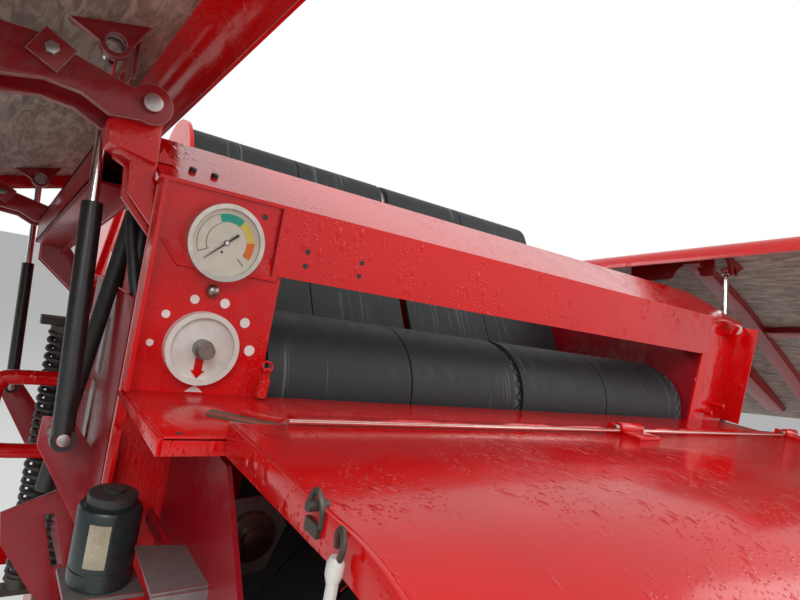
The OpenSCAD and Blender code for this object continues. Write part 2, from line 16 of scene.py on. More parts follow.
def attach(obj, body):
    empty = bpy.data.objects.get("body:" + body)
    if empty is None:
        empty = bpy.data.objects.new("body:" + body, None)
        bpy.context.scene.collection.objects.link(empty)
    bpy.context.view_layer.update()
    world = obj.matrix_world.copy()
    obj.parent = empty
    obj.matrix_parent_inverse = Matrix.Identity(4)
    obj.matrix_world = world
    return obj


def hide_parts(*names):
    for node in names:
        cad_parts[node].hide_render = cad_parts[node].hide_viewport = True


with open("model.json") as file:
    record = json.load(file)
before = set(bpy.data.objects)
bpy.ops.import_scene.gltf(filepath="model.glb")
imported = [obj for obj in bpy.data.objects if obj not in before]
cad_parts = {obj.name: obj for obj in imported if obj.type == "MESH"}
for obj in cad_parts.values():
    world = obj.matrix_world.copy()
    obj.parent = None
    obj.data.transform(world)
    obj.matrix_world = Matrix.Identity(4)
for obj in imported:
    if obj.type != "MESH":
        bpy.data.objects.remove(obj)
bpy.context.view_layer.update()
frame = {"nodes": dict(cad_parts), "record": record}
NODES = frame["nodes"]

FRONT = 267.5  # from the row frame's origin back to the front panels, mm
BEAM = 2200  # the crossbeam's lower edge above the floor, mm
SHARP = 0.6  # edges that turn by more than this stay sharp, radians
GAUGE, DIAL = (-693, 32), (-695, -112)  # their centres on the panel: x, z
AXLE = (1080, 465)  # the wheels' centre: y, z from the floor


# ---------- shader maths ----------
class Sock:
    """A socket whose arithmetic adds Math nodes."""

    def __init__(self, mat, socket):
        self.mat, self.socket = mat, socket

    def _math(self, operation, first, second=None):
        values = {0: first} if second is None else {0: first, 1: second}
        return self.mat.node("Math", {"operation": operation}, values)

    def __add__(self, other):
        return self._math("ADD", self, other)

    def __radd__(self, other):
        return self._math("ADD", other, self)

    def __sub__(self, other):
        return self._math("SUBTRACT", self, other)

    def __mul__(self, other):
        return self._math("MULTIPLY", self, other)

    def wrap(self, length):
        return self._math("PINGPONG", self, length)

    def angle(self, other):
        return self._math("ARCTAN2", self, other)

    def clip(self):
        made = self._math("MULTIPLY", self, 1.0)
        made.socket.node.use_clamp = True
        return made

    def ease(self, low, high):
        """0 below low, 1 above high, smooth between; low may be the larger."""
        return self.mat.node("MapRange", {"interpolation_type": "SMOOTHSTEP"},
                             {"Value": self, "From Min": low, "From Max": high})


class Finish:
    """One material: its nodes are made by node(), numbers and links alike."""

    def __init__(self, name):
        self.material = bpy.data.materials.new(name)
        self.material.use_nodes = True
        self.tree = self.material.node_tree
        self.shader = self.tree.nodes["Principled BSDF"]
        self.coords = None

    def node(self, kind, settings=None, inputs=None, output=0):
        made = self.tree.nodes.new("ShaderNode" + kind)
        for key, value in (settings or {}).items():
            setattr(made, key, value)
        for key, value in (inputs or {}).items():
            self.feed(made.inputs[key], value)
        return Sock(self, made.outputs[output])

    def feed(self, socket, value):
        if isinstance(value, Sock):
            self.tree.links.new(value.socket, socket)
        elif isinstance(value, (tuple, list)) and socket.type == "RGBA" and len(value) == 3:
            socket.default_value = (*value, 1.0)
        else:
            socket.default_value = value

    def place(self, scale=(1, 1, 1), turn=(0, 0, 0)):
        """Object coordinates, turned and stretched."""
        if self.coords is None:
            self.coords = self.node("TexCoord", output="Object")
        return self.node("Mapping", None, {"Vector": self.coords, "Scale": scale, "Rotation": turn})

    def axes(self):
        split = self.node("SeparateXYZ", None, {"Vector": self.place()})
        return [Sock(self, split.socket.node.outputs[i]) for i in range(3)]

    def noise(self, scale, detail=3.0, stretch=(1, 1, 1), rough=0.5, turn=(0, 0, 0), distort=0.0):
        return self.node("TexNoise", None, {"Vector": self.place(stretch, turn), "Scale": scale, "Detail": detail,
                                            "Roughness": rough, "Distortion": distort})

    def cells(self, scale, stretch=(1, 1, 1)):
        return self.node("TexVoronoi", None, {"Vector": self.place(stretch), "Scale": scale})

    def mix(self, factor, first, second):
        made = self.tree.nodes.new("ShaderNodeMix")
        made.data_type = "RGBA"
        for index, value in ((0, factor), (6, first), (7, second)):
            self.feed(made.inputs[index], value)
        return Sock(self, made.outputs[2])

    def bump(self, height, strength, distance):
        return self.node("Bump", None, {"Height": height, "Strength": strength, "Distance": distance})

    def surface(self, **values):
        for key, value in values.items():
            self.feed(self.shader.inputs[key.replace("_", " ")], value)
        return self.material


def wet_paint(name, colour, shade, drops=1.0, gloss=0.16, grime=0.25, runs=0.0):
    """Rained-on gloss enamel: drops, runs, fine dust in the low places."""
    f = Finish(name)
    broad = f.noise(3.2, 4.0)
    fine = f.noise(46.0, 5.0, rough=0.62)
    dust = (broad.ease(0.46, 0.74) * fine.ease(0.35, 0.75)) * grime
    body = f.mix(broad.ease(0.3, 0.72) * 0.5, colour, shade)
    body = f.mix(dust, body, (0.16, 0.1, 0.075))
    beads = f.cells(150.0)
    pools = f.cells(72.0, (1, 0.45, 0.45))
    spread = f.noise(16.0, 3.0, (1, 0.6, 0.6)).ease(0.42, 0.62)
    drop = beads.ease(0.36, 0.06) * 0.6 + pools.ease(0.34, 0.05)
    height = drop * spread * drops + f.noise(420.0, 1.0) * 0.06
    if runs:
        height = height + f.noise(210.0, 2.0, (1, 1, 0.07), distort=1.6) * runs
    rough = gloss + dust * 0.9 + fine.ease(0.5, 0.8) * 0.08
    return f.surface(Base_Color=body, Roughness=rough.clip(), Normal=f.bump(height, 0.5, 0.0022),
                     Coat_Weight=0.12, Coat_Roughness=0.06, Specular_IOR_Level=0.4)


def plain(name, colour, second, rough, metal=0.0, scale=20.0, lift=0.2):
    """One colour worn towards a second, with a fine grain."""
    f = Finish(name)
    broad = f.noise(scale * 0.2, 3.0)
    fine = f.noise(scale * 4.0, 4.0, rough=0.6)
    body = f.mix((broad * 0.6 + fine * 0.5).ease(0.35, 0.75), colour, second)
    return f.surface(Base_Color=body, Roughness=(rough + (fine - 0.5) * 0.22).clip(), Metallic=metal,
                     Normal=f.bump(fine, lift, 0.0006))


def lagging(centre_y, centre_z, radius, pitch):
    """Rubber with a diamond grid of grooves round a roller along x."""
    f = Finish("diamond lagging")
    x, y, z = f.axes()
    around = (z - centre_z).angle(y - centre_y) * radius
    near = (x + around).wrap(pitch).ease(0.0022, 0.0034) * (x - around).wrap(pitch).ease(0.0022, 0.0034)
    grain = f.noise(160.0, 3.0)
    body = f.mix(near, (0.006, 0.006, 0.007), (0.09, 0.095, 0.1))
    return f.surface(Base_Color=f.mix(grain * 0.5, body, (0.03, 0.03, 0.032)), Roughness=0.55,
                     Normal=f.bump(near + grain * 0.15, 0.9, 0.003))


def belting(name, colour, pale, amount):
    """Belt rubber with scuffs drawn out along its travel, which lies in the y and z directions."""
    f = Finish(name)
    streak = f.noise(150.0, 3.0, (1, 0.02, 0.02))
    patch = f.noise(9.0, 3.0, (1, 0.5, 0.5))
    scuff = streak.ease(0.56, 0.68) * patch.ease(0.5, 0.62)
    weave = f.noise(60.0, 4.0, (1, 0.25, 0.25))
    body = f.mix((scuff * amount).clip(), f.mix(weave * 0.6, colour, (0.022, 0.024, 0.025)), pale)
    return f.surface(Base_Color=body, Roughness=(0.46 + weave * 0.24).clip(),
                     Normal=f.bump(weave + streak, 0.3, 0.0012), Specular_IOR_Level=0.35)


def laminate():
    """The inner side of the doors: matted fibres under a worn grey-brown coat."""
    f = Finish("door laminate")
    strands = f.noise(70.0, 5.0, (1, 0.16, 1), 0.65, (0.3, 0.2, 0.5), 0.8)
    broad = f.noise(2.6, 4.0)
    body = f.mix(strands.ease(0.36, 0.66), (0.17, 0.13, 0.1), (0.42, 0.36, 0.3))
    body = f.mix(broad.ease(0.4, 0.75) * 0.4, body, (0.26, 0.19, 0.15))
    return f.surface(Base_Color=body, Roughness=(0.5 + strands * 0.25).clip(), Normal=f.bump(strands, 0.45, 0.001))


RED, RED_DEEP = (0.66, 0.002, 0.003), (0.45, 0.002, 0.003)
# the darker reds on the next line are the red paint with painted shade, for the parts that lie in shade
RED_PAINTED_SHADE, RED_PAINTED_SHADE_DEEP = (0.3, 0.005, 0.012), (0.14, 0.004, 0.009)
finishes = {
    "red_paint": wet_paint("red enamel", RED, RED_DEEP),
    "panel_red": wet_paint("red enamel with runs", RED, (0.48, 0.003, 0.006), 0.5, runs=0.5),
    # red enamel with painted shade and more dirt, for the parts that lie in shade
    "dark_red_paint": wet_paint("red enamel in painted shade and dirt", RED_PAINTED_SHADE, RED_PAINTED_SHADE_DEEP, 0.3, 0.3, 0.5),
    "belt_rubber": belting("belt rubber", (0.009, 0.0105, 0.0115), (0.12, 0.12, 0.115), 0.75),
    "tyre": plain("tyre rubber", (0.02, 0.02, 0.021), (0.05, 0.046, 0.04), 0.8, scale=14),
    "steel": plain("bare steel", (0.42, 0.41, 0.39), (0.22, 0.18, 0.15), 0.36, 1.0),
    "bright": plain("stainless ring", (0.66, 0.62, 0.56), (0.5, 0.45, 0.4), 0.22, 0.85, lift=0.05),
    "cast": plain("oily iron", (0.05, 0.05, 0.05), (0.1, 0.08, 0.06), 0.5, 0.6),
    "brown": plain("browned steel", (0.085, 0.05, 0.035), (0.16, 0.1, 0.07), 0.5, 0.4),
    "black_paint": plain("black enamel", (0.012, 0.012, 0.013), (0.03, 0.028, 0.026), 0.3),
    "chrome": plain("chrome", (0.75, 0.76, 0.77), (0.6, 0.6, 0.6), 0.12, 1.0, lift=0.03),
    "door_skin": laminate(),
    "cream": plain("gauge face", (0.6, 0.58, 0.49), (0.52, 0.49, 0.4), 0.35, lift=0.03),
    "white_plastic": plain("white plastic", (0.7, 0.7, 0.66), (0.58, 0.56, 0.51), 0.4, lift=0.05),
    "black_rubber": plain("black rubber", (0.012, 0.013, 0.014), (0.035, 0.034, 0.033), 0.5),
    "bottle": plain("bottle plastic", (0.006, 0.012, 0.014), (0.012, 0.022, 0.024), 0.28, lift=0.06),
    "label": plain("plain label", (0.42, 0.38, 0.27), (0.25, 0.21, 0.14), 0.6, scale=90),
    "lamp_red": plain("red lens", (0.45, 0.01, 0.01), (0.3, 0.01, 0.01), 0.2),
    "net": plain("net roll", (0.6, 0.6, 0.56), (0.4, 0.38, 0.33), 0.7),
    "galv": plain("zinc", (0.3, 0.3, 0.3), (0.2, 0.19, 0.18), 0.5, 0.7),
    "green": plain("green sector", (0.01, 0.33, 0.22), (0.01, 0.28, 0.19), 0.5, lift=0.02),
    "yellow": plain("yellow sector", (0.62, 0.5, 0.1), (0.58, 0.45, 0.09), 0.5, lift=0.02),
    "orange": plain("orange sector", (0.66, 0.14, 0.01), (0.6, 0.12, 0.01), 0.5, lift=0.02),
    "ink": plain("black ink", (0.012, 0.012, 0.012), (0.02, 0.02, 0.02), 0.5, lift=0.02),
    "mark": plain("white mark", (0.8, 0.77, 0.73), (0.7, 0.65, 0.61), 0.5, lift=0.05),
    # pale pink for the panel's edge: a painted highlight
    "edge": plain("red edge painted highlight", (0.72, 0.33, 0.33), (0.6, 0.2, 0.2), 0.4, scale=60),
    "lagging": lagging(0.3975, 2.02, 0.112, 0.013),
}
slots = {part["node"]: part["material_slot"] for part in frame["record"]["subparts"]}


def paint(name, looks, pick=None):
    """Gives a CAD node its finishes; pick(x, y, z) says whether a face centred there gets the second."""
    node = NODES[name]
    node.data.materials.clear()
    for look in looks:
        node.data.materials.append(finishes[look])
    if pick:
        for face in node.data.polygons:
            x, y, z = (node.matrix_world @ face.center) * 1000
            face.material_index = int(pick(x, y - FRONT, z - BEAM))


for name in NODES:
    paint(name, [slots[name]])
paint("gauge_panel", ["panel_red"])
# the roller's ends, the wheels' rims, the gauge's face and the dial's shaft
paint("lagged_roller", ["lagging", "cast"], lambda x, y, z: abs(x) >= 594.1)
for side in ("right", "left"):
    paint("wheel_" + side, ["tyre", "galv"],
          lambda x, y, z: math.dist((y, z + BEAM), AXLE) <= 236.5 and abs(x) <= 1210)
paint("gauge", ["bright", "cream"], lambda x, y, z: math.dist((x, z), GAUGE) < 44.9 and y > -23.5)
paint("dial", ["white_plastic", "steel"], lambda x, y, z: math.dist((x, z), DIAL) < 13.4 and y < -8.1)


# ---------- mesh pieces ----------
TOP = Matrix.Translation((0, 0, BEAM))
# the right door's hinge line, which falls towards the front, and the door on it, open by 69 degrees
HINGE = Matrix.Translation((806, 50, 2375)) @ Matrix.Rotation(math.radians(-10.3), 4, "X")
DOOR = HINGE @ Matrix.Rotation(math.radians(-69), 4, "Y")


def mirror(side):
    """1 for the right side, -1 for the left."""
    return Matrix.Diagonal((side, 1, 1, 1))


class Piece:
    """A mesh under construction; move places what is added next, look is the number of its finish."""

    def __init__(self, name, body, *looks):
        self.name, self.body, self.looks, self.move = name, body, looks, TOP
        self.mesh = bmesh.new()

    def add(self, points, faces, looks):
        corners = [self.mesh.verts.new(self.move @ Vector(p)) for p in points]
        for i, face in enumerate(faces):
            made = self.mesh.faces.new([corners[k] for k in face])
            made.material_index = looks[i] if isinstance(looks, list) else looks

    def prism(self, plane, outline, a, b, look=0, sides=None, holes=()):
        """An outline in plane yz, xz or xy, drawn from a to b; sides may list a look for each side."""
        third = {"yz": 0, "xz": 1, "xy": 2}[plane]
        loops = [list(outline), *[list(h) for h in holes]]
        points, faces, looks, start = [], [], [], 0
        for height in (a, b):
            for loop in loops:
                for p in loop:
                    place = list(p)
                    place.insert(third, height)
                    points.append(place)
        total = len(points) // 2
        for loop in loops:
            n = len(loop)
            for i in range(n):
                j = (i + 1) % n
                faces.append((start + i, start + j, total + start + j, total + start + i))
                looks.append(sides[i] if sides else look)
            start += n
        if holes:
            flat = tessellate_polygon([[Vector((*p, 0)) for p in loop] for loop in loops])
            caps = [tuple(t) for t in flat] + [tuple(i + total for i in t) for t in flat]
        else:
            caps = [tuple(range(total)), tuple(range(total, 2 * total))]
        self.add(points, faces + caps, looks + [look] * len(caps))

    def box(self, x, y, z, look=0):
        self.prism("xy", [(x[0], y[0]), (x[1], y[0]), (x[1], y[1]), (x[0], y[1])], z[0], z[1], look)

    def lathe(self, start, along, profile, look=0, looks=None, sides=40):
        """A profile of (radius, distance) turned about the line from start along a direction."""
        along = Vector(along).normalized()
        turn = along.to_track_quat("Z", "Y").to_matrix()
        angles = [2 * math.pi * k / sides for k in range(sides)]
        points = [Vector(start) + turn @ Vector((r * math.cos(a), r * math.sin(a), h))
                  for r, h in profile for a in angles]
        faces, marks = [], []
        for i in range(len(profile) - 1):
            for k in range(sides):
                n = (k + 1) % sides
                faces.append((i * sides + k, i * sides + n, (i + 1) * sides + n, (i + 1) * sides + k))
                marks.append(looks[i] if looks else look)
        last = (len(profile) - 1) * sides
        faces += [tuple(range(sides)), tuple(range(last, last + sides))]
        self.add(points, faces, marks + [marks[0], marks[-1]])

    def rod(self, a, b, r, look=0, sides=24):
        self.lathe(a, Vector(b) - Vector(a), [(r, 0), (r, (Vector(b) - Vector(a)).length)], look, sides=sides)

    def sweep(self, line, r, look=0, sides=10):
        """A round section carried along points."""
        line = [Vector(p) for p in line]
        count, points, faces, across = len(line), [], [], None
        angles = [2 * math.pi * k / sides for k in range(sides)]
        for i, p in enumerate(line):
            ahead = (line[min(i + 1, count - 1)] - line[max(i - 1, 0)]).normalized()
            if across is None:
                across = ahead.orthogonal().normalized()
            across = (across - ahead * across.dot(ahead)).normalized()
            other = ahead.cross(across)
            points += [p + (across * math.cos(a) + other * math.sin(a)) * r for a in angles]
        for i in range(count - 1):
            for k in range(sides):
                n, m = (k + 1) % sides, i + 1
                faces.append((i * sides + k, i * sides + n, m * sides + n, m * sides + k))
        faces += [tuple(range(sides)), tuple(range((count - 1) * sides, count * sides))]
        self.add(points, faces, look)

    def strip(self, rows, look=0):
        """A bar through rows of four corners."""
        points = [p for row in rows for p in row]
        faces = [(4 * i + k, 4 * i + (k + 1) % 4, 4 * i + 4 + (k + 1) % 4, 4 * i + 4 + k)
                 for i in range(len(rows) - 1) for k in range(4)]
        last = 4 * len(rows) - 4
        self.add(points, faces + [(0, 1, 2, 3), (last, last + 1, last + 2, last + 3)], look)

    def done(self, slot, *replaced, soft=0.0):
        """Metres, outward normals, soft edges, then on its body."""
        mesh = self.mesh
        bmesh.ops.recalc_face_normals(mesh, faces=mesh.faces)
        if soft:
            edges = [e for e in mesh.edges if len(e.link_faces) == 2 and e.calc_face_angle(0) > SHARP]
            bmesh.ops.bevel(mesh, geom=edges, offset=soft, segments=2, profile=0.5, affect="EDGES",
                            clamp_overlap=True)
        for corner in mesh.verts:
            corner.co = Vector((corner.co.x, corner.co.y + FRONT, corner.co.z)) / 1000
        for face in mesh.faces:
            face.smooth = True
        for edge in mesh.edges:
            edge.smooth = len(edge.link_faces) == 2 and edge.calc_face_angle(0) < SHARP
        data = bpy.data.meshes.new(self.name)
        mesh.to_mesh(data)
        mesh.free()
        for look in self.looks:
            data.materials.append(finishes[look])
        made = bpy.data.objects.new(self.name, data)
        bpy.context.scene.collection.objects.link(made)
        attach(made, self.body)
        if replaced:
            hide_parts(*replaced)


def smooth_line(points, steps=8):
    """A smooth curve through points."""
    points = [Vector(p) for p in points]
    ends = [points[0] * 2 - points[1], *points, points[-1] * 2 - points[-2]]
    line = []
    for a, b, c, d in zip(ends, ends[1:], ends[2:], ends[3:]):
        for k in range(steps):
            t = k / steps
            line.append(0.5 * ((2 * b) + (c - a) * t + (2 * a - 5 * b + 4 * c - d) * t * t
                               + (3 * b - a - 3 * c + d) * t ** 3))
    return line + [points[-1]]


def arc(centre, r, first, last, n):
    """Points on a circle, angles in degrees."""
    return [(centre[0] + r * math.cos(math.radians(first + (last - first) * i / n)),
             centre[1] + r * math.sin(math.radians(first + (last - first) * i / n))) for i in range(n + 1)]


def bolts(name, body, look, places):
    """Hex heads on washers; places are x, y, z, direction and head radius, z from the floor.

    Known fault: the reference way is stale once size is made, so the heads gather where the
    directions point instead of at their places.
    """
    data = bpy.data.meshes.new(name)
    data.from_pydata([(x / 1000, (y + FRONT) / 1000, z / 1000) for x, y, z, _, _ in places], [], [])
    way = data.attributes.new("way", "FLOAT_VECTOR", "POINT")
    size = data.attributes.new("size", "FLOAT", "POINT")
    for i, place in enumerate(places):
        way.data[i].vector = place[3]
        size.data[i].value = place[4] / 1000
    made = bpy.data.objects.new(name, data)
    bpy.context.scene.collection.objects.link(made)
    tree = bpy.data.node_groups.new(name, "GeometryNodeTree")
    for flow in ("INPUT", "OUTPUT"):
        tree.interface.new_socket("Geometry", in_out=flow, socket_type="NodeSocketGeometry")

    def node(kind, **values):
        item = tree.nodes.new(kind)
        for key, value in values.items():
            setattr(item, key, value)
        return item

    def cylinder(corners, radius, depth, lift):
        shape = node("GeometryNodeMeshCylinder")
        for key, value in (("Vertices", corners), ("Radius", radius), ("Depth", depth)):
            shape.inputs[key].default_value = value
        shift = node("GeometryNodeTransform")
        shift.inputs["Translation"].default_value = (0, 0, lift)
        tree.links.new(shape.outputs["Mesh"], shift.inputs["Geometry"])
        return shift.outputs["Geometry"]

    join = node("GeometryNodeJoinGeometry")
    for shape in (cylinder(6, 1.0, 0.75, 0.5), cylinder(24, 1.45, 0.3, 0.0), cylinder(16, 0.62, 1.3, 0.55)):
        tree.links.new(shape, join.inputs["Geometry"])
    ways = node("GeometryNodeInputNamedAttribute", data_type="FLOAT_VECTOR")
    ways.inputs["Name"].default_value = "way"
    sizes = node("GeometryNodeInputNamedAttribute", data_type="FLOAT")
    sizes.inputs["Name"].default_value = "size"
    turn = node("FunctionNodeAlignRotationToVector", axis="Z")
    dots = node("GeometryNodeMeshToPoints")
    put = node("GeometryNodeInstanceOnPoints")
    solid = node("GeometryNodeRealizeInstances")
    finish = node("GeometryNodeSetMaterial")
    finish.inputs["Material"].default_value = finishes[look]
    enter, leave = node("NodeGroupInput"), node("NodeGroupOutput")
    for out, into in ((enter.outputs[0], dots.inputs["Mesh"]), (dots.outputs[0], put.inputs["Points"]),
                      (join.outputs[0], put.inputs["Instance"]), (ways.outputs["Attribute"], turn.inputs["Vector"]),
                      (turn.outputs[0], put.inputs["Rotation"]), (sizes.outputs["Attribute"], put.inputs["Scale"]),
                      (put.outputs[0], solid.inputs[0]), (solid.outputs[0], finish.inputs["Geometry"]),
                      (finish.outputs[0], leave.inputs[0])):
        tree.links.new(out, into)
    made.modifiers.new("bolts", "NODES").node_group = tree
    shown = bpy.data.meshes.new_from_object(made.evaluated_get(bpy.context.evaluated_depsgraph_get()))
    made.modifiers.clear()
    made.data = shown
    shown.name = name
    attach(made, body)


# ---------- side walls, tailgate walls, rollers and belts ----------
# the side walls and their housings are in the red with painted shade; the disc on the left wall is in the plain red
walls = Piece("walls", "machine", "dark_red_paint", "red_paint")
WALL = [(6, -1440), (6, 88), (60, 112), (150, 150), (500, 168), (640, 215), (668, 240), (752, 248),
        (960, 270), (1000, 240), (1000, -1780), (120, -1780), (60, -1720)]
# housings and bosses on the walls' outer side: y, z, radius, length
HOUSINGS = [(130, -180, 62, 16), (710, 225, 20, 16), (330, -150, 45, 16), (330, -1350, 58, 16),
            (520, -1590, 58, 16), (860, -1590, 58, 16), (60, -1160, 50, 16), (980, 240, 20, 34),
            (820, -1100, 16, 104), (820, -1100, 21, 56.7), (190, -1560, 48, 50)]
for side in (1, -1):
    walls.move = mirror(side) @ TOP
    walls.prism("yz", WALL, 600, 608)
    for y, z, r, length in HOUSINGS:
        walls.rod((604, y, z), (608 + length, y, z), r)
walls.move = TOP
walls.prism("yz", arc((690, 176), 125, 0, 355, 71), -608.6, -599.4, 1)
walls.done("dark_red_paint", "side_walls")

gates = Piece("gates", "tailgate", "red_paint")
GATE = [(1012, -1670), (1260, -1670), (1560, -1500), (1790, -1150), (1860, -800), (1840, -400), (1740, -80),
        (1650, 25), (1200, 170), (1015, 268), (952, 262), (940, 225), (1012, 120)]
for side in (1, -1):
    gates.move = mirror(side) @ TOP
    gates.prism("yz", GATE, 614, 622)
    gates.rod((618, 980, 240), (622.5, 980, 240), 44)
    gates.rod((618, 1180, -150), (664.7, 1180, -150), 24)
    for rib in ([(1060, -50), (1105, -50), (1630, -1200), (1585, -1200)],
                [(1120, 90), (1160, 90), (1800, -640), (1795, -700)]):
        gates.prism("yz", rib, 618, 636)
gates.done("red_paint", "tailgate_walls", soft=1.5)

rollers = Piece("rollers", "machine", "steel", "cast", "brown")
for y, z, r, reach in ((330, -1350, 70, 696), (520, -1590, 75, 620), (860, -1590, 75, 620)):
    rollers.rod((-594, y, z), (594, y, z), r, sides=64)
    rollers.rod((-620, y, z), (reach, y, z), 25, 1)
rollers.rod((-594, 330, -150), (594, 330, -150), 39.7, sides=64)
rollers.rod((-620, 330, -150), (620, 330, -150), 20, 1)
rollers.lathe((-594, 710, 225), (1, 0, 0), [(56.7, 0), (56.7, 1150), (54, 1156), (54, 1164)],
              looks=[0, 2, 2], sides=64)
rollers.rod((-620, 710, 225), (620, 710, 225), 16, 1)
rollers.done("steel", "steel_rollers")


def heading(a, b):
    """Direction in degrees of the outer tangent from roller a to roller b, given as y, z, radius."""
    gap = math.dist(a[:2], b[:2])
    return math.degrees(math.atan2(b[1] - a[1], b[0] - a[0]) - math.asin((a[2] - b[2]) / gap))


# rollers that the belts run on: y, z, radius, which is negative where the belts pass under
LAG, IDLER, UPPER, REAR, LOWER = ((130, -180, 112), (330, -150, -48), (710, 225, 57), (1640, -50, 57),
                                  (1180, -1560, 75))
PARTING = 998  # where the front belts end, short of the tailgate's own


def belt_line(e):
    """The belts' run e outside the rollers, from the parting plane up round them and back to it."""
    up, under = heading(LOWER, LAG), heading(LAG, IDLER)
    over, back = heading(IDLER, UPPER), heading(UPPER, REAR)

    def end(roller, angle):
        y, z = arc(roller, roller[2] + e, angle + 90, angle + 90, 1)[0]
        return (PARTING, z + (PARTING - y) * math.tan(math.radians(angle)))
    return [end(LAG, up), *arc(LAG, LAG[2] + e, up + 90, under + 90, 30),
            *arc(IDLER, IDLER[2] + e, under + 90, over + 90, 16),
            *arc(UPPER, UPPER[2] + e, over + 90, back + 90, 12), end(UPPER, back)]


belts = Piece("belts", "machine", "belt_rubber")
for left, right in ((-584, -315), (-312, -51), (-28, 251), (254, 554)):
    outer, inner = belt_line(8), belt_line(0)
    n = len(outer)
    ring = outer + inner[::-1]
    points = [(x, y, z) for x in (left, right) for y, z in ring]
    faces = [(i, (i + 1) % (2 * n), 2 * n + (i + 1) % (2 * n), 2 * n + i) for i in range(2 * n)]
    for base in (0, 2 * n):
        faces += [(base + i, base + i + 1, base + 2 * n - 2 - i, base + 2 * n - 1 - i) for i in range(n - 1)]
    belts.add(points, faces, 0)
belts.done("belt_rubber", "belts_front")

# ---------- ledge, lid and right column ----------
ledge = Piece("ledge_sheet", "machine", "red_paint", "brown", "bright", "steel")
ledge.prism("yz", [(-205, -168), (0, -175), (0, -180), (-205, -173)], -781.9, 781.9)
ledge.box((-781.9, 781.9), (-205, -200), (-189, -170))
for x in (-787, 782):
    ledge.prism("yz", [(-205, -170), (0, -176), (0, -181), (-205, -189)], x, x + 5)
for x in (0, 668):
    for s in (-41, 33):
        ledge.box((x + s, x + s + 8), (-204, -191), (-173, -138))
    ledge.rod((x - 42, -207, -144), (x + 42, -207, -144), 5, 3)
# hinge strap with its shim, a folded tab and the wavy sealing strip behind the lid
ledge.prism("xy", [(-715, -122), (-704, -108), (-620, -171), (-631, -186)], -173, -165.5, 1)
ledge.prism("xy", [(-703, -168), (-701, -160), (-668, -169), (-670, -177)], -172, -164.5, 2)
ledge.prism("xy", [(-676, -130), (-658, -117), (-640, -146), (-628, -150), (-636, -160), (-654, -150)], -166, -160)
random.seed(4)
rows = []
for i in range(57):
    x, wave = -606 + i * 24.5, random.uniform(-1, 1)
    rows.append([(x, -110 + wave, -172), (x, -112 + wave, -168), (x, -160 + 2.2 * wave, -158 + 1.6 * wave),
                 (x, -164 + 2 * wave, -163 + wave)])
ledge.strip(rows)
ledge.done("red_paint", "ledge", soft=0.7)

lid = Piece("lid_sheet", "lid", "red_paint", "bright", "dark_red_paint")


def lid_shape(t):
    """The lid's section from its hinge to its front edge, t thick."""
    return ([(-210, -152)] + arc((-450, -427), 275, 90, 180, 30) + [(-725, -537), (-725 + t, -537)]
            + arc((-450, -427), 275 - t, 180, 90, 30) + [(-210, -152 - t)])


lid.prism("yz", lid_shape(5), -715.9, 715.9)
for x in (-721, 716):
    # the flanges' inner edges, under the lid, are in the red with painted shade
    lid.prism("yz", lid_shape(32), x, x + 5, 0, sides=[0] * 34 + [2] * 32)
for x in (0, 668):
    lid.rod((x - 31, -207, -144), (x + 31, -207, -144), 9)
    lid.box((x - 31, x + 31), (-250, -212), (-152, -147))
# thin bright hinge rods along the lid's rear edge, which also stand in for that edge's highlight: partly a painted
# highlight
lid.rod((-655, -212, -148), (-35, -212, -148), 3.4, 1, 10)
lid.rod((35, -212, -148), (625, -212, -148), 3.4, 1, 10)
lid.done("red_paint", "lid", soft=0.5)

catch = Piece("lid_clip", "lid", "cast", "white_plastic")
catch.box((-725, -720), (-424, -404), (-174, -164))
catch.sweep(smooth_line([(-722, -424, -166), (-723, -422, -150), (-724, -412, -141), (-723, -404, -150),
                         (-722, -402, -160)], 5), 2.6, 0, 8)
catch.rod((-731, -414, -152), (-714, -414, -152), 4.5, 0, 12)
catch.sweep(smooth_line([(-721, -448, -168), (-725, -452, -156), (-728, -461, -149), (-731, -470, -156),
                         (-731, -468, -168), (-730, -460, -176)], 5), 2.4, 0, 8)
# short rubber latch hanging from the hook
catch.sweep(smooth_line([(-730, -464, -170), (-731, -466, -184), (-731, -468, -232), (-730, -470, -262)], 5),
            4.4, 1, 10)
catch.lathe((-731, -465, -166), (0, -0.03, -1), [(4.5, 0), (6.5, 4), (6.5, 12), (4.6, 18)], 1, sides=16)
catch.done("steel", "lid_catch")

column = Piece("column", "machine", "red_paint", "mark", "brown", "ink")
column.box((600, 768), (0, 6), (-900, 95))
for z in ((-900, -219), (-169.5, 90)):
    column.box((763, 768), (-50, 6), z)
for x in (672, 700):
    column.prism("yz", [(0, 54), (-24, 66), (-30, 84), (-14, 94), (0, 92)], x, x + 5)
column.rod((666, -16, 80), (722, -16, 80), 4, 2)
column.lathe((712, -16, 80), (1, 0, 0), [(14, 0), (11, 2.5), (11, 5.5), (14, 8)], 1)
for x, z, length in ((660, -150, 26), (700, -128, 34)):
    column.rod((x, 0, z), (x, -length, z), 6)
for x, z in ((700, -12), (712, -44)):
    column.box((x - 2.5, x + 2.5), (-0.8, 0.5), (z - 16, z + 16), 3)
column.sweep(smooth_line([(628, -6, 92), (640, -22, 96), (676, -20, 92), (712, -24, 88)], 6), 2.2, 1, 8)
column.done("red_paint", "right_column", soft=0.8)

# ---------- door hinges and carriers ----------
BOW = arc((0, 0), 22, 180, 0, 10)
# the carriers, rear lugs, strut feet and posts beside the front panels are in the red with painted shade
hangers = Piece("door_hangers", "machine", "red_paint", "steel", "dark_red_paint")
